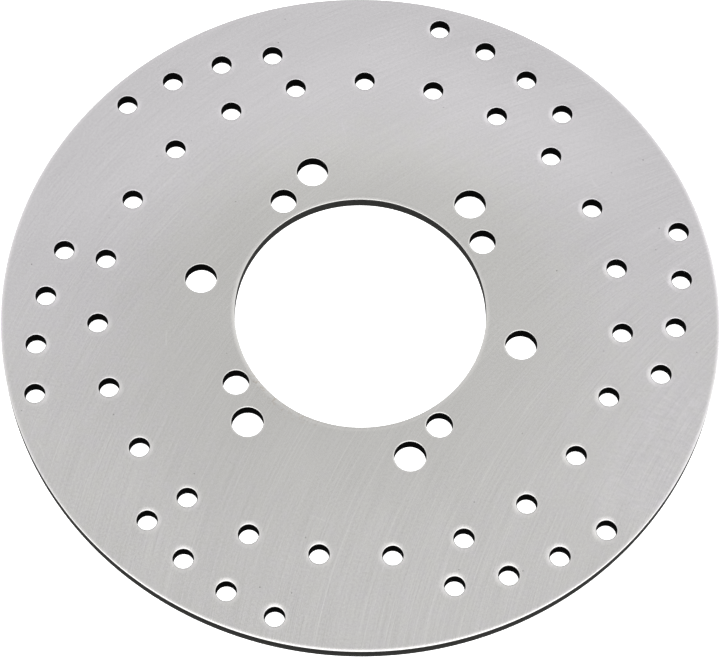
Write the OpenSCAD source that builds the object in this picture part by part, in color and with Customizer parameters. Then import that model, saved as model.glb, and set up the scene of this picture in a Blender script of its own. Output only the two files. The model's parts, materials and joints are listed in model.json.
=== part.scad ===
// Brake disc rotor: one flat ground steel plate with a centre opening, two hub hole
// circles and two kinds of cooling holes. The origin is on the bore axis at the back
// face, +Z runs out of the front face, and +X runs through the first hole of each pattern.

/* [Plate] */
// Outside diameter of the disc
disc_d = 197; // [195:1:210]
// Thickness between the two ground faces
thickness = 4; // [3:0.5:6]
// Diameter of the centre opening that sits on the hub spigot
bore_d = 69; // [60:1:70]
// Width of the 45 degree edge break on the rim and on the centre opening
plate_break = 0.1; // [0.05:0.05:0.5]
// Width of the 45 degree edge break on every drilled hole
hole_break = 0.1; // [0.05:0.05:0.4]

/* [Hub bolts] */
// Number of hub bolt holes
bolt_count = 6; // [3:3:6]
// Diameter of the circle that the hub bolts stand on
bolt_pcd = 90; // [88:1:92]
// Diameter of a hub bolt hole
bolt_hole_d = 8.7; // [6.6:0.1:9]

/* [Locating holes] */
// Number of locating holes
locating_count = 4; // [2:2:4]
// Diameter of the circle that the locating holes stand on
locating_pcd = 80; // [80:1:82]
// Diameter of a locating hole
locating_hole_d = 7.2; // [5:0.1:7.6]
// Angle from +X to the first locating hole
locating_start = 45; // [40:1:50]

/* [Cooling holes] */
// Diameter of every cooling hole
vent_d = 5.5; // [4:0.5:7]
// Number of cooling holes in the evenly spaced inner ring
ring_count = 23; // [12:1:30]
// Diameter of the circle that the inner ring stands on
ring_pcd = 144; // [140:1:148]

/* [Swept rows of cooling holes] */
// Number of swept rows around the disc
row_count = 6; // [3:1:6]
// Number of holes in one swept row
row_holes = 4; // [2:1:4]
// Distance from the bore axis to the first hole of a row
row_first_r = 83.9; // [83:0.1:85]
// Distance by which each hole of a row lies further out than the one before
row_step_out = 2.6; // [0:0.1:3]
// Distance along the arc from one hole of a row to the next
row_pitch = 14.5; // [12:0.5:18]

/* [Hidden] */

full_turn = 360;
steel = [0.74, 0.75, 0.76];
// Distance by which a cutting tool stands clear of each face
clear = 1;
$fn = 96;

// Angle that row_pitch takes up between hole i - 1 and hole i, at their mean radius
function pitch_angle(i) = row_pitch / (row_first_r + (i - 0.5) * row_step_out) * 180 / PI;

// Angle of hole i of a swept row from the first hole of that row
function row_angle(i) = i == 0 ? 0 : row_angle(i - 1) + pitch_angle(i);

// A solid of revolution between an inner and an outer radius, broken at its four edges
module broken_ring(inner_r, outer_r) {
    rotate_extrude()
        polygon([
            [inner_r + plate_break, 0],
            [outer_r - plate_break, 0],
            [outer_r, plate_break],
            [outer_r, thickness - plate_break],
            [outer_r - plate_break, thickness],
            [inner_r + plate_break, thickness],
            [inner_r, thickness - plate_break],
            [inner_r, plate_break]
        ]);
}

// A drill of diameter d through the plate, with a countersink at each face
module drill(d) {
    wide = d / 2 + hole_break + clear;
    sink = hole_break + clear;
    translate([0, 0, -clear])
        cylinder(h = thickness + 2 * clear, d = d);
    translate([0, 0, thickness - hole_break])
        cylinder(h = sink, r1 = d / 2, r2 = wide);
    translate([0, 0, -clear])
        cylinder(h = sink, r1 = wide, r2 = d / 2);
}

// The same drill at a distance from the bore axis, turned by an angle from +X
module drill_at(radius, angle, d) {
    rotate([0, 0, angle])
        translate([radius, 0, 0])
            drill(d);
}

// Evenly spaced drills on one circle
module drill_circle(count, pcd, start, d) {
    for (i = [0 : count - 1])
        drill_at(pcd / 2, start + i * full_turn / count, d);
}

// Rows of cooling holes that sweep outwards as they run counter-clockwise
module swept_rows() {
    for (row = [0 : row_count - 1])
        for (i = [0 : row_holes - 1])
            drill_at(
                row_first_r + i * row_step_out,
                row * full_turn / row_count + row_angle(i),
                vent_d
            );
}

module rotor_disc() {
    color(steel)
        difference() {
            broken_ring(bore_d / 2, disc_d / 2);
            drill_circle(bolt_count, bolt_pcd, 0, bolt_hole_d);
            drill_circle(locating_count, locating_pcd, locating_start, locating_hole_d);
            drill_circle(ring_count, ring_pcd, 0, vent_d);
            swept_rows();
        }
}

rotor_disc();
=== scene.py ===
"""Looks of the brake disc: one finely cut plate mesh, its three steel finishes, a studio and a camera."""

import json
import math

import bpy
import numpy as np
from mathutils import Matrix, Vector
from mathutils.geometry import delaunay_2d_cdt


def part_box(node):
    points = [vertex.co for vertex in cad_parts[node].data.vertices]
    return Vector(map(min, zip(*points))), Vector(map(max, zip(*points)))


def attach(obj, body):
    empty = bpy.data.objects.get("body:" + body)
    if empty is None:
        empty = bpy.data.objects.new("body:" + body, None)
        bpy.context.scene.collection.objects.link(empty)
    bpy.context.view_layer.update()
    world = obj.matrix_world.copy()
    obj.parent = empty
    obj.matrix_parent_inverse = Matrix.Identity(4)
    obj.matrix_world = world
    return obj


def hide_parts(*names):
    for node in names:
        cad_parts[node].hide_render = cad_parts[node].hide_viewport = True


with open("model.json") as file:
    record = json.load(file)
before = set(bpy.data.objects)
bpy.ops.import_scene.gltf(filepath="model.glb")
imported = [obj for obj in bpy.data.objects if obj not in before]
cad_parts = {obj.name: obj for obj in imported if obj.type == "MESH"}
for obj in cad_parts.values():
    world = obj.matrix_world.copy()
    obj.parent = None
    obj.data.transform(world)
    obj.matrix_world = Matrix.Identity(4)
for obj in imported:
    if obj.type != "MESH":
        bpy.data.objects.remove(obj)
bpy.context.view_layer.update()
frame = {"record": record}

MM = 0.001
TURN = 2 * math.pi

# ---------------------------------------------------------------- sizes of the plate
low_corner, high_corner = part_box("rotor_disc")
MOUNTS = {mount["name"]: mount for mount in frame["record"]["mounts"]}
PLATE_TOP = high_corner.z
PLATE_BOTTOM = low_corner.z
RIM_RADIUS = high_corner.x
BORE_RADIUS = MOUNTS["bore"]["dims"]["r_mm"] * MM

COOLING_RADIUS = 2.75 * MM
RING_COUNT = 23
RING_RADIUS = 72 * MM
ROW_COUNT = 6
ROW_HOLES = 4
ROW_FIRST_RADIUS = 83.9 * MM
ROW_STEP_OUT = 2.6 * MM
ROW_PITCH = 14.5 * MM
LOCATING_START = math.radians(45)

# How the polished front edges roll over: the width on the face, the drop towards the wall, and
# the power of the curve between them, which is higher where the roll is steeper near the wall
RIM_ROLL = (1.2 * MM, 0.095 * MM, 2.0)
BORE_ROLL = (1.3 * MM, 0.185 * MM, 1.3)
HUB_HOLE_ROLL = (0.55 * MM, 0.07 * MM, 1.8)
COOLING_ROLL = (1.5 * MM, 0.14 * MM, 1.35)
# The small round corner at the end of every roll: its drop, and the power that keeps it short
CORNER_DROP = 0.03 * MM
CORNER_POWER = 20
# Width of the 45 degree cut between a drilled hole's roll and its wall
HUB_HOLE_BREAK = 0.04 * MM
COOLING_BREAK = 0.12 * MM

# Steps from the flat face to the end of a roll, and the power that crowds them towards the wall
ROLL_STEPS = 9
STEP_POWER = 2.5
# Steps round each kind of wall
RIM_STEPS = 480
BORE_STEPS = 240
HUB_HOLE_STEPS = 80
COOLING_STEPS = 64
# Spacing of the points that fill the flat faces, their least distance from a roll, and the
# distance within which two points count as one
FACE_GRID = 3.5 * MM
FACE_MARGIN = 1.2 * MM
SAME_POINT = 1e-9

# Numbers of the plate's three finishes
GROUND, BLANKED, DRILLED = range(3)
# Numbers of its first two walls, which are blanked. The drilled walls of the holes follow them.
RIM_WALL, BORE_WALL = range(2)


# ---------------------------------------------------------------- where the holes are
def circle_of_holes(pattern_radius, count, start, hole_radius):
    """Holes evenly spaced on one circle, as rows of x, y and hole radius."""
    angle = start + np.arange(count) * TURN / count
    x = pattern_radius * np.cos(angle)
    y = pattern_radius * np.sin(angle)
    return np.stack([x, y, np.full(count, hole_radius)], axis=1)


def bolt_circle(name, start):
    """The holes of one of the record's bolt patterns."""
    dims = MOUNTS[name]["dims"]
    return circle_of_holes(dims["pcd_mm"] / 2 * MM, dims["count"], start, dims["hole_r_mm"] * MM)


def swept_rows():
    """Rows of holes that step outwards by equal amounts and along the arc by equal lengths."""
    step = np.arange(ROW_HOLES)
    radius = ROW_FIRST_RADIUS + step * ROW_STEP_OUT
    between = ROW_PITCH / (radius[1:] - ROW_STEP_OUT / 2)
    along = np.concatenate([[0], np.cumsum(between)])
    angle = np.arange(ROW_COUNT)[:, None] * TURN / ROW_COUNT + along
    x = radius * np.cos(angle)
    y = radius * np.sin(angle)
    return np.stack([x.ravel(), y.ravel(), np.full(angle.size, COOLING_RADIUS)], axis=1)


HUB_HOLES = np.concatenate([bolt_circle("hub_bolts", 0), bolt_circle("locating_holes", LOCATING_START)])
COOLING_HOLES = np.concatenate([circle_of_holes(RING_RADIUS, RING_COUNT, 0, COOLING_RADIUS), swept_rows()])


# ---------------------------------------------------------------- the plate's mesh
def wall_profile(roll, edge_break):
    """Distance back from the wall and height, from the top face down to the bottom face.

    With s running from 0 on the flat face to 1 at the end of the roll, the front edge is
    back = width * (1 - s) and drop = depth * s^power + corner * (1 - sqrt(1 - s^20)): a long shallow
    roll that ends in a small round corner. The back edge has the corner only. On a drilled hole
    the roll ends one edge break short of the wall, and a 45 degree cut leads down to the wall.
    """
    width, depth, power = roll
    s = 1 - np.linspace(1, 0, ROLL_STEPS + 1) ** STEP_POWER
    back = edge_break + (width - edge_break) * (1 - s)
    corner = CORNER_DROP * (1 - np.sqrt(1 - s**CORNER_POWER))
    front = PLATE_TOP - (depth * s**power + corner)
    rear = PLATE_BOTTOM + corner
    rear_back = width * (1 - s)
    if edge_break > 0:
        back = np.append(back, 0)
        front = np.append(front, front[-1] - edge_break)
    return np.concatenate([back, rear_back[::-1]]), np.concatenate([front, rear[::-1]])


def wall_of_revolution(centre, radius, outward, roll, edge_break, turn_steps):
    """A wall profile carried round a vertical axis, with b running through one turn.

    A point is (x, y) = centre + (radius + side * back) * (cos b, sin b), at the profile's height.
    The side is -1 on a wall that faces away from its axis, such as the rim, and +1 on a hole.
    """
    back, height = wall_profile(roll, edge_break)
    side = -1 if outward else 1
    b = np.arange(turn_steps) * TURN / turn_steps
    reach = (radius + side * back)[:, None]
    x = centre[0] + reach * np.cos(b)
    y = centre[1] + reach * np.sin(b)
    return np.stack([x, y, np.broadcast_to(height[:, None], x.shape)], axis=-1)


def wall_quads(rows, columns, first, outward):
    """Corner numbers of the quads of a closed band of points, wound so that they face out of the steel."""
    i = np.arange(rows - 1)[:, None] * columns + first
    j = np.arange(columns)
    k = (j + 1) % columns
    quads = np.stack([i + j, i + columns + j, i + columns + k, i + k], axis=-1).reshape(-1, 4)
    return quads if outward else quads[:, ::-1]


def face_grid(holes):
    """Points on even rings over the flat face, clear of the rim, the bore and every hole."""
    inner = BORE_RADIUS + BORE_ROLL[0] + FACE_MARGIN
    outer = RIM_RADIUS - RIM_ROLL[0] - FACE_MARGIN
    radii = np.linspace(inner, outer, int((outer - inner) / FACE_GRID))
    rings = []
    for number, radius in enumerate(radii):
        count = int(TURN * radius / FACE_GRID)
        stagger = number % 2 / 2
        angle = (np.arange(count) + stagger) * TURN / count
        rings.append(radius * np.stack([np.cos(angle), np.sin(angle)], axis=1))
    points = np.concatenate(rings)
    apart = points[:, None, :] - holes[None, :, :2]
    gap = np.hypot(apart[..., 0], apart[..., 1]) - holes[:, 2]
    return points[gap.min(axis=1) > COOLING_ROLL[0] + FACE_MARGIN]


def fill_face(loops, loose):
    """Triangles between the rim's loop, the other loops and the loose points, as corner numbers.

    The corners are numbered loop after loop and then over the loose points. A triangle whose
    three corners lie on one inner loop is in a hole, and is dropped.
    """
    points = np.concatenate([*loops, loose])
    edges = []
    loop_of = []
    first = 0
    for number, loop in enumerate(loops):
        ring = np.arange(len(loop))
        edges.append(np.stack([ring, (ring + 1) % len(loop)], axis=1) + first)
        loop_of.append(np.full(len(loop), number))
        first += len(loop)
    loop_of.append(np.full(len(loose), -1))
    edges = np.concatenate(edges).tolist()
    corners = [Vector(point) for point in points.tolist()]
    _, _, cut_faces, cut_sources, _, _ = delaunay_2d_cdt(corners, edges, [], 0, SAME_POINT)
    source = np.array([numbers[0] for numbers in cut_sources])
    triangles = source[np.array(cut_faces)]
    loop = np.concatenate(loop_of)[triangles]
    in_hole = (loop[:, 0] > RIM_WALL) & (loop[:, 0] == loop[:, 1]) & (loop[:, 0] == loop[:, 2])
    return triangles[~in_hole], points


def disc_walls():
    """Every wall of the disc: the rim's, the bore's, and then one for each hole."""
    walls = [
        wall_of_revolution((0, 0), RIM_RADIUS, True, RIM_ROLL, 0, RIM_STEPS),
        wall_of_revolution((0, 0), BORE_RADIUS, False, BORE_ROLL, 0, BORE_STEPS),
    ]
    for x, y, r in HUB_HOLES:
        walls.append(wall_of_revolution((x, y), r, False, HUB_HOLE_ROLL, HUB_HOLE_BREAK, HUB_HOLE_STEPS))
    for x, y, r in COOLING_HOLES:
        walls.append(wall_of_revolution((x, y), r, False, COOLING_ROLL, COOLING_BREAK, COOLING_STEPS))
    return walls


def wall_bands(rows):
    """Which bands of a wall's quads are its straight wall, and which its 45 degree cut."""
    band = np.arange(rows - 1)
    straight = band == rows - ROLL_STEPS - 2
    cut = (band == ROLL_STEPS) & ~straight
    return straight, cut


def upwards(triangles, points):
    """The same triangles, each wound counter-clockwise as seen from above."""
    corner = points[triangles]
    ab = corner[:, 1] - corner[:, 0]
    ac = corner[:, 2] - corner[:, 0]
    clockwise = ab[:, 0] * ac[:, 1] < ab[:, 1] * ac[:, 0]
    return np.where(clockwise[:, None], triangles[:, ::-1], triangles)


def build_plate():
    """The whole disc as one closed mesh. Its walls and rolled edges are smooth and its two faces flat."""
    walls = disc_walls()
    quads = []
    quad_finish = []
    quad_flat = []
    top_ids = []
    bottom_ids = []
    first = 0
    for number, wall in enumerate(walls):
        rows, columns = wall.shape[:2]
        straight, cut = wall_bands(rows)
        # The drilled walls and their 45 degree cuts take the drilled finish, whose near-black colour is
        # painted shade
        wall_finish = BLANKED if number <= BORE_WALL else DRILLED
        quads.append(wall_quads(rows, columns, first, outward=number == RIM_WALL))
        quad_finish.append(np.repeat(np.where(straight | cut, wall_finish, GROUND), columns))
        quad_flat.append(np.repeat(cut, columns))
        top_ids.append(first + np.arange(columns))
        bottom_ids.append(first + (rows - 1) * columns + np.arange(columns))
        first += rows * columns

    loose = face_grid(np.concatenate([HUB_HOLES, COOLING_HOLES]))
    triangles = upwards(*fill_face([wall[0, :, :2] for wall in walls], loose))
    top_ids = np.concatenate([*top_ids, first + np.arange(len(loose))])
    bottom_ids = np.concatenate([*bottom_ids, first + len(loose) + np.arange(len(loose))])
    faces = np.concatenate([top_ids[triangles], bottom_ids[triangles][:, ::-1]])

    points = [wall.reshape(-1, 3) for wall in walls]
    for height in (PLATE_TOP, PLATE_BOTTOM):
        points.append(np.column_stack([loose, np.full(len(loose), height)]))
    finish = np.concatenate([np.full(len(faces), GROUND), *quad_finish])
    flat = np.concatenate([np.full(len(faces), True), *quad_flat])
    mesh = bpy.data.meshes.new("disc_plate")
    mesh.from_pydata(np.concatenate(points).tolist(), [], faces.tolist() + np.concatenate(quads).tolist())
    mesh.polygons.foreach_set("use_smooth", ~flat)
    mesh.polygons.foreach_set("material_index", finish.astype(np.int32))
    mesh.update()
    plate = bpy.data.objects.new("disc_plate", mesh)
    bpy.context.scene.collection.objects.link(plate)
    return plate


# ---------------------------------------------------------------- material maths
class Term:
    """A number that varies over the surface, held as a node socket, with ordinary operators."""

    def __init__(self, graph, socket):
        self.graph = graph
        self.socket = socket

    def __add__(self, other):
        return self.graph.maths("ADD", self, other)

    def __sub__(self, other):
        return self.graph.maths("SUBTRACT", self, other)

    def __rsub__(self, other):
        return self.graph.maths("SUBTRACT", other, self)

    def __mul__(self, other):
        return self.graph.maths("MULTIPLY", self, other)

    def __truediv__(self, other):
        return self.graph.maths("DIVIDE", self, other)

    def __abs__(self):
        return self.graph.maths("ABSOLUTE", self)

    __radd__ = __add__
    __rmul__ = __mul__


class Graph:
    """A node tree under construction."""

    def __init__(self, tree):
        self.nodes = tree.nodes
        self.links = tree.links

    def node(self, kind, settings=None, **sockets):
        """A node of any kind: its settings are set first, then its sockets get values or links.

        A socket is named with underscores for spaces, or as i and its number.
        """
        made = self.nodes.new("ShaderNode" + kind)
        for setting, value in (settings or {}).items():
            if setting == "stops":
                self.set_stops(made.color_ramp.elements, value)
            else:
                setattr(made, setting, value)
        for name, value in sockets.items():
            key = int(name[1:]) if name[1:].isdigit() else name.replace("_", " ")
            self.feed(made.inputs[key], value)
        return made

    def set_stops(self, elements, stops):
        """Grey stops of a ramp, as pairs of place and level."""
        while len(elements) < len(stops):
            elements.new(0.5)
        for element, (place, level) in zip(elements, stops):
            element.position = place
            element.color = (level, level, level, 1)

    def feed(self, socket, value):
        """Gives a socket a link from a Term or another socket, or else a plain value."""
        if isinstance(value, Term):
            value = value.socket
        if isinstance(value, bpy.types.NodeSocket):
            self.links.new(value, socket)
        else:
            socket.default_value = value

    def maths(self, operation, *values):
        """One Math node."""
        sockets = {f"i{n}": value for n, value in enumerate(values)}
        return Term(self, self.node("Math", {"operation": operation}, **sockets).outputs[0])

    def place(self, kind, unit):
        """The three texture coordinates of a kind, in a unit."""
        split = self.node("SeparateXYZ", Vector=self.node("TexCoord").outputs[kind])
        return [Term(self, out) / unit for out in split.outputs]

    def noise(self, x, y, z=0, detail=2.0, roughness=0.5):
        """Smooth noise over three Terms: one lump per unit, mean 0.5."""
        where = self.node("CombineXYZ", X=x, Y=y, Z=z).outputs[0]
        made = self.node("TexNoise", Vector=where, Scale=1.0, Detail=detail, Roughness=roughness)
        return Term(self, made.outputs["Fac"])

    def scattered(self, x, y):
        """Points scattered one to a unit square: the way to the nearest one, and its two random numbers."""
        where = self.node("CombineXYZ", X=x, Y=y).outputs[0]
        made = self.node("TexVoronoi", {"voronoi_dimensions": "2D"}, Vector=where, Scale=1.0)
        point = self.node("SeparateXYZ", Vector=made.outputs["Position"])
        random = self.node("SeparateXYZ", Vector=made.outputs["Color"])
        way_x = x - Term(self, point.outputs[0])
        way_y = y - Term(self, point.outputs[1])
        return way_x, way_y, Term(self, random.outputs[0]), Term(self, random.outputs[1])

    def length(self, x, y):
        """The length of a flat vector."""
        return self.maths("SQRT", x * x + y * y)

    def ramp(self, value, low, high):
        """0 below low, 1 above high, and a smooth S between."""
        settings = {"interpolation_type": "SMOOTHSTEP"}
        made = self.node("MapRange", settings, Value=value, From_Min=low, From_Max=high)
        return Term(self, made.outputs[0])

    def blend(self, factor, first, second):
        """A colour between two colours."""
        made = self.node("Mix", {"data_type": "RGBA"}, i0=factor, i6=first, i7=second)
        return made.outputs[2]

    def brighten(self, colour, amount):
        """A colour times a Term."""
        made = self.node("VectorMath", {"operation": "SCALE"}, i0=colour, Scale=amount)
        return made.outputs[0]


class Finish(Graph):
    """One material under construction, with its Principled shader."""

    def __init__(self, name, **constants):
        self.material = bpy.data.materials.new(name)
        self.material.use_nodes = True
        super().__init__(self.material.node_tree)
        self.shader = self.nodes["Principled BSDF"]
        self.set(**constants)

    def set(self, **sockets):
        """Feeds sockets of the shader."""
        for name, value in sockets.items():
            self.feed(self.shader.inputs[name.replace("_", " ")], value)

    def relief(self, height, depth):
        """Turns a height Term into a bump of that depth on the shader's normal."""
        made = self.node("Bump", Height=height, Distance=depth, Strength=1.0)
        self.set(Normal=made.outputs[0])


# ---------------------------------------------------------------- steel finishes
# Lengths and places here are in millimetres, and colours and levels are linear. Within a
# finish, each noise after the first adds its own number to z, so that no two are alike.

# The faces were ground on a rotary table, by the rim of a wheel that stands beside its centre
TABLE_X, TABLE_Y = -192.5, -101.8
WHEEL_OFFSET = 189.7
WHEEL_RADIUS = 180.3
MM_PER_TURN = 180.0

# Unit vectors towards the parts of the face that are scored more, that carry painted light, and that are
# darker
SCORED_SIDE = (-0.240, 0.971)
PAINTED_LIGHT_SIDE = (0.28, -0.96)
DARKER_SIDE = (0.98, 0.20)
# Towards this side the grinding lines crowd together, and wider ones show between them
CROWDED_SIDE = (-0.98, -0.20)

# Where the wheel chattered, and the way across the crests that it left
CHATTER_X, CHATTER_Y = -88.0, 22.0
CHATTER_WAY = (-0.147, -0.989)
# Where a little rust has bloomed beside the centre opening
RUST_X, RUST_Y = 16.0, 31.0
# Spacing of the nicks, how fast a nick bends away from its line, and the spread of the specks
NICK_PITCH = 25.0
NICK_BEND = 0.03
SPECKS_PER_MM = 0.12

WARM_STEEL = (0.570, 0.563, 0.548, 1)
COOL_STEEL = (0.570, 0.556, 0.570, 1)
RUST = (0.30, 0.20, 0.11, 1)
SHEARED_STEEL = (0.30, 0.30, 0.29, 1)
TORN_STEEL = (0.19, 0.19, 0.18, 1)
# Near-black colour of the drilled walls: painted shade in the deep holes
DRILLED_WALL_SHADE = (0.02, 0.02, 0.02)

# How far each mark of the ground faces changes the base colour's brightness, as a share of it
FINE_SHARE = 0.13
OPEN_SHARE = 0.02
CROWDED_SHARE = 0.10
GRAIN_SHARE = 0.19
BAND_SHARE = 0.05
CLOUD_SHARE = 0.08
SCORE_SHARE = 0.06
CHATTER_SHARE = 0.12
NICK_SHARE = 0.06
SPECK_SHARE = 0.5
# How much of the rust's colour shows, and the depth of the scratches
RUST_SHARE = 0.4
SCRATCH_DEPTH = 0.0015 * MM


def towards(x, y, way):
    """How far a place lies from the disc's axis along a unit vector."""
    return x * way[0] + y * way[1]


def grinding_lines(finish, x, y):
    """Coordinates across and along the wheel's scratches, both in millimetres.

    A scratch is an arc of the wheel's rim, frozen at one turn of the table. With r and a the polar
    coordinates about the table's centre, the turn is a + acos((r^2 + d^2 - w^2) / (2 r d)), and the
    place along the arc is w * acos((d^2 + w^2 - r^2) / (2 d w)).
    """
    dx = x - TABLE_X
    dy = y - TABLE_Y
    square = dx * dx + dy * dy
    r = finish.maths("SQRT", square)
    d2 = WHEEL_OFFSET ** 2
    w2 = WHEEL_RADIUS ** 2
    lean = finish.maths("ARCCOSINE", (square + (d2 - w2)) / (r * (2 * WHEEL_OFFSET)))
    turn = finish.maths("ARCTAN2", dy, dx) + lean
    arc = finish.maths("ARCCOSINE", (d2 + w2 - square) / (2 * WHEEL_OFFSET * WHEEL_RADIUS))
    return turn * MM_PER_TURN, arc * WHEEL_RADIUS


def deep_scores(finish, across, along, z, scored, clouds):
    """Deeper scratches among the fine ones: long ones, and short ones that are half as strong."""
    long_noise = finish.noise(across * 3.0, along * 0.006, z + 7, detail=0.0)
    short_noise = finish.noise(across * 3.0, along * 0.03, z + 11, detail=0.0)
    scores = finish.ramp(long_noise, 0.64, 0.78) + finish.ramp(short_noise, 0.66, 0.80) * 0.5
    return scores * (0.3 + 0.7 * scored) * finish.ramp(clouds, 0.10, 0.50)


def chatter_marks(finish, x, y, z, patch):
    """Close crests within the patch, brighter and darker by turns."""
    crest = towards(x, y, CHATTER_WAY)
    beside = x * CHATTER_WAY[1] - y * CHATTER_WAY[0]
    return (finish.noise(crest * 1.1, beside * 0.25, z + 43, detail=0.0) - 0.5) * patch


def handling_nicks(finish, x, y):
    """Short bright scratches from handling, each at its own angle, at some of the scattered points.

    A nick is the set of places within a hair's width of a line through a scattered point and
    within a few millimetres of that point; the line bends a little with the distance.
    """
    way_x, way_y, chance, angle = finish.scattered(x / NICK_PITCH, y / NICK_PITCH)
    turn = angle * TURN
    cosine = finish.maths("COSINE", turn)
    sine = finish.maths("SINE", turn)
    ahead = (way_x * cosine + way_y * sine) * NICK_PITCH
    aside = (way_y * cosine - way_x * sine) * NICK_PITCH
    near_line = 1.0 - finish.ramp(abs(aside + ahead * ahead * NICK_BEND), 0.10, 0.30)
    near_point = 1.0 - finish.ramp(abs(ahead), 1.0, 3.5)
    return near_line * near_point * finish.ramp(chance, 0.45, 0.9)


def dark_specks(finish, x, y):
    """Small pits, at a few of the scattered points."""
    way_x, way_y, chance, _ = finish.scattered(x * SPECKS_PER_MM, y * SPECKS_PER_MM)
    near_point = 1.0 - finish.ramp(finish.length(way_x, way_y), 0.012, 0.032)
    return near_point * finish.ramp(chance, 0.86, 1.0)


def rust_bloom(finish, x, y, z, radius):
    """A trace of rust in small lumps, near one place at the edge of the centre opening."""
    lumps = finish.ramp(finish.noise(x * 0.8, y * 0.8, z + 61, detail=4.0, roughness=0.7), 0.48, 0.72)
    near_place = 1.0 - finish.ramp(finish.length(x - RUST_X, y - RUST_Y), 5.0, 19.0)
    near_bore = 1.0 - finish.ramp(radius, 34.6, 39.0)
    return lumps * near_place * near_bore


def broad_tone(finish, x, y, radius, outward, patch):
    """Brightness that changes slowly over the face: it grows outwards, is painted light on one side, and is
    darker towards another.
    """
    # Painted light: a lighter band across the face, between the bore and the outer ring
    pale = finish.ramp(towards(x, y, PAINTED_LIGHT_SIDE), 18.0, 46.0)
    pale = pale * finish.ramp(radius, 36.0, 56.0) * (1.0 - finish.ramp(radius, 70.0, 96.0))
    # Darker towards one side, inside the outer ring
    darker_part = finish.ramp(towards(x, y, DARKER_SIDE), 10.0, 45.0) * (1.0 - finish.ramp(radius, 60.0, 96.0))
    return 1.01 + 0.07 * outward + 0.09 * pale - 0.045 * darker_part + 0.03 * patch


def painted_edge_highlight(finish, z, radius):
    """Painted highlight on the rolled front edges: extra brightness in the base colour, most of it on the
    rim's.
    """
    sunk = finish.ramp(PLATE_TOP / MM - z, 0.0, 0.14) * finish.ramp(z, 1.0, 2.0)
    return sunk * (0.03 + 0.18 * finish.ramp(radius, 95.0, 97.0))


def ground_steel():
    """Rotary-ground plate: fine arcs of scratches, a few deeper ones, soft bands and specks, with painted
    light on one part of the face and painted highlights on the rolled edges.
    """
    finish = Finish("ground_steel", Metallic=1.0)
    x, y, z = finish.place("Object", MM)
    across, along = grinding_lines(finish, x, y)
    radius = finish.length(x, y)
    outward = finish.ramp(radius, 34.0, 80.0)
    scored = finish.ramp(towards(x, y, SCORED_SIDE), -60.0, 60.0)
    crowded = finish.ramp(towards(x, y, CROWDED_SIDE), 20.0, 90.0)
    from_chatter = finish.length(x - CHATTER_X, y - CHATTER_Y)
    patch = (1.0 - finish.ramp(from_chatter, 14.0, 32.0)) * finish.ramp(radius, 76.0, 86.0)

    fine = finish.noise(across * 3.0, along * 0.05, z, detail=1.0, roughness=0.6)
    open_lines = finish.noise(across * 1.9, along * 0.05, z + 5, detail=1.0)
    grain = finish.noise(x * 1.5, y * 1.5, z + 3, detail=2.0, roughness=0.6)
    bands = finish.noise(across * 0.12, along * 0.006, z + 19, detail=2.0)
    clouds = finish.noise(x * 0.035, y * 0.035, z + 31, detail=3.0)
    cut = finish.noise(x * 0.02, y * 0.02, z + 37, detail=1.0)
    tint = finish.noise(x * 0.25, y * 0.25, z + 53, detail=3.0, roughness=0.6)
    scores = deep_scores(finish, across, along, z, scored, clouds)

    cool = outward * (1.0 - 0.7 * scored) + patch * 0.25 + (tint - 0.5) * 1.2
    base = finish.blend(finish.ramp(cool, 0.0, 0.9), WARM_STEEL, COOL_STEEL)
    base = finish.blend(rust_bloom(finish, x, y, z, radius) * RUST_SHARE, base, RUST)

    contrast = 0.71 + 0.28 * finish.ramp(cut, 0.35, 0.65) + 0.33 * outward
    lines = (fine - 0.5) * FINE_SHARE + (open_lines - 0.5) * (OPEN_SHARE + CROWDED_SHARE * crowded)
    light = broad_tone(finish, x, y, radius, outward, patch)
    light = light + (lines + (grain - 0.5) * GRAIN_SHARE) * contrast
    light = light + (bands - 0.5) * BAND_SHARE + (clouds - 0.5) * CLOUD_SHARE
    light = light + scores * SCORE_SHARE + chatter_marks(finish, x, y, z, patch) * CHATTER_SHARE
    light = light + handling_nicks(finish, x, y) * NICK_SHARE
    light = light * (1.0 - dark_specks(finish, x, y) * SPECK_SHARE)
    # Painted highlight: the rolled front edges are brightened in the base colour
    light = light * (1.0 + painted_edge_highlight(finish, z, radius))
    finish.set(Base_Color=finish.brighten(base, light))
    finish.set(Roughness=0.22 + (fine - 0.5) * 0.08)
    finish.relief(fine + scores, SCRATCH_DEPTH)
    return finish.material


def blanked_steel():
    """Sheared rim and bore: a smoother band under the front edge, a rougher and darker torn band below."""
    finish = Finish("blanked_steel", Metallic=1.0)
    x, y, z = finish.place("Object", MM)
    tear = finish.noise(x * 1.4, y * 1.4, z * 0.25, detail=3.0)
    torn = 1.0 - finish.ramp(z + (tear - 0.5) * 1.2, 1.6, 2.4)
    base = finish.blend(torn, SHEARED_STEEL, TORN_STEEL)
    finish.set(Base_Color=finish.brighten(base, 0.8 + tear * 0.4))
    finish.set(Roughness=0.42 + torn * 0.16)
    finish.relief(tear, 0.03 * MM)
    return finish.material


def drilled_steel_painted_shade():
    """Drilled walls: near black as painted shade in the deep holes, with close turning rings."""
    finish = Finish("drilled_steel_painted_shade", Metallic=1.0)
    x, y, z = finish.place("Object", MM)
    rings = finish.noise(x * 0.2, y * 0.2, z * 8.0, detail=1.0)
    # Painted shade: the drilled walls are near black
    finish.set(Base_Color=finish.brighten(DRILLED_WALL_SHADE, 0.7 + rings * 0.6))
    finish.set(Roughness=0.35 + rings * 0.2)
    finish.relief(rings, 0.01 * MM)
    return finish.material


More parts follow.
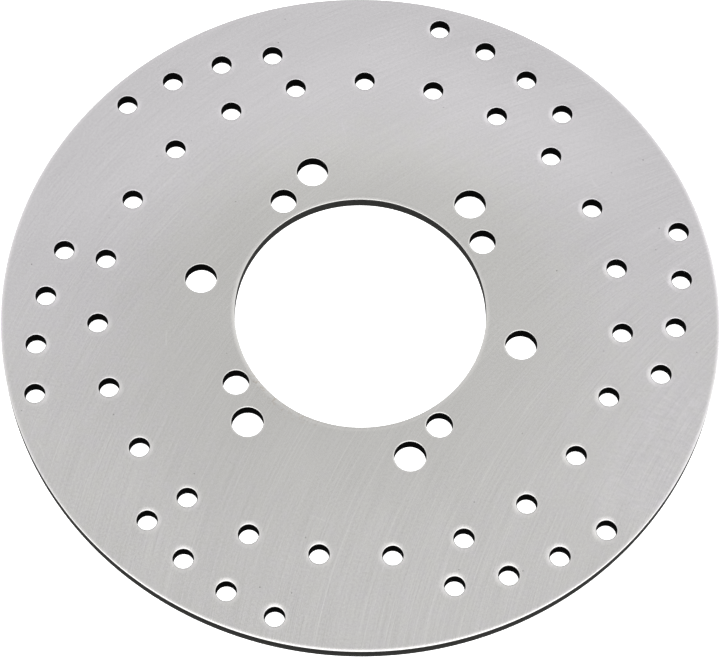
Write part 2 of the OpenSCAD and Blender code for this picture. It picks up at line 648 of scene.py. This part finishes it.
# ---------------------------------------------------------------- studio and camera
CAMERA_HEADING = math.radians(101.53)
CAMERA_ELEVATION = math.radians(65.197)
CAMERA_ROLL = math.radians(-1.283)
CAMERA_DISTANCE = 951.6 * MM
CAMERA_AIM = Vector((-0.98, 4.93, 3.70)) * MM
CAMERA_LENS = 173.907

# Distances and sizes of the studio are in metres, and its levels are linear
SOFTBOX_DISTANCE = 1.5
SOFTBOX_ELEVATION = math.radians(61)
SOFTBOX_SIZE = (2.6, 2.0)
SOFTBOX_RADIANCE = 1.3

# The tent's brightness at heights from straight down, at 0, to straight up, at 1
TENT_LEVELS = [
    (0.0, 0.02),
    (0.25, 0.04),
    (0.47, 0.25),
    (0.62, 0.60),
    (0.82, 0.70),
    (0.90, 0.98),
    (0.935, 0.90),
    (0.97, 0.79),
    (1.0, 0.75),
]
# How much a side panel adds, and how far to the viewer's right it starts and is full
RIGHT_PANEL = (0.5, 0.13, 0.36)
LEFT_PANEL = (0.3, -0.14, -0.40)

FLOOR_REACH = 4.0
FLOOR_GAP = 0.1 * MM


def direction(heading, elevation):
    """The unit vector that points at a heading from +X and an elevation above the floor."""
    flat = math.cos(elevation)
    return Vector((flat * math.cos(heading), flat * math.sin(heading), math.sin(elevation)))


def facing(back, place, roll=0.0):
    """The transform of a camera or lamp at a place that looks along minus back."""
    up = (Vector((0, 0, 1)) - back * back.z).normalized()
    right = up.cross(back)
    up = up * math.cos(roll) + right * math.sin(roll)
    right = up.cross(back)
    return Matrix.Translation(place) @ Matrix((right, up, back)).transposed().to_4x4()


def add_camera():
    """A long lens that looks down on the disc at a slant."""
    data = bpy.data.cameras.new("camera")
    data.lens = CAMERA_LENS
    camera = bpy.data.objects.new("camera", data)
    back = direction(CAMERA_HEADING, CAMERA_ELEVATION)
    camera.matrix_world = facing(back, CAMERA_AIM + back * CAMERA_DISTANCE, CAMERA_ROLL)
    bpy.context.scene.collection.objects.link(camera)
    bpy.context.scene.camera = camera


def add_softbox():
    """A large lamp over the viewer's shoulder, with its power worked out from its radiance and area."""
    data = bpy.data.lights.new("softbox", "AREA")
    data.shape = "RECTANGLE"
    data.size, data.size_y = SOFTBOX_SIZE
    data.energy = SOFTBOX_RADIANCE * math.pi * data.size * data.size_y
    lamp = bpy.data.objects.new("softbox", data)
    back = direction(CAMERA_HEADING, SOFTBOX_ELEVATION)
    lamp.matrix_world = facing(back, back * SOFTBOX_DISTANCE)
    bpy.context.scene.collection.objects.link(lamp)


def add_tent():
    """A pale tent all round, dim below the floor's edge, with a brighter panel at each side."""
    world = bpy.data.worlds.new("tent")
    bpy.context.scene.world = world
    world.use_nodes = True
    graph = Graph(world.node_tree)
    x, y, z = graph.place("Generated", 1.0)
    height = z * 0.5 + 0.5
    grey = graph.node("ValToRGB", {"stops": TENT_LEVELS}, Fac=height).outputs[0]
    rightward = y * math.cos(CAMERA_HEADING) - x * math.sin(CAMERA_HEADING)
    panels = 1.0
    for gain, start, full in (RIGHT_PANEL, LEFT_PANEL):
        panels = panels + gain * graph.ramp(rightward, start, full)
    background = world.node_tree.nodes["Background"]
    graph.feed(background.inputs["Color"], graph.brighten(grey, panels))


def add_floor():
    """A plain white floor that lights nothing."""
    turns = [(-1, -1), (1, -1), (1, 1), (-1, 1)]
    corners = [(x * FLOOR_REACH, y * FLOOR_REACH, PLATE_BOTTOM - FLOOR_GAP) for x, y in turns]
    mesh = bpy.data.meshes.new("floor")
    mesh.from_pydata(corners, [], [(0, 1, 2, 3)])
    floor = bpy.data.objects.new("floor", mesh)
    finish = Finish("white_floor", Base_Color=(0.9, 0.9, 0.9, 1), Roughness=0.9)
    finish.set(Emission_Color=(1, 1, 1, 1), Emission_Strength=1.0)
    mesh.materials.append(finish.material)
    floor.visible_diffuse = False
    floor.visible_glossy = False
    floor.visible_shadow = False
    bpy.context.scene.collection.objects.link(floor)


plate = build_plate()
for material in (ground_steel(), blanked_steel(), drilled_steel_painted_shade()):
    plate.data.materials.append(material)
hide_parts("rotor_disc")
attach(plate, "root")

add_camera()
add_softbox()
add_tent()
add_floor()
bpy.context.scene.view_settings.view_transform = "Standard"
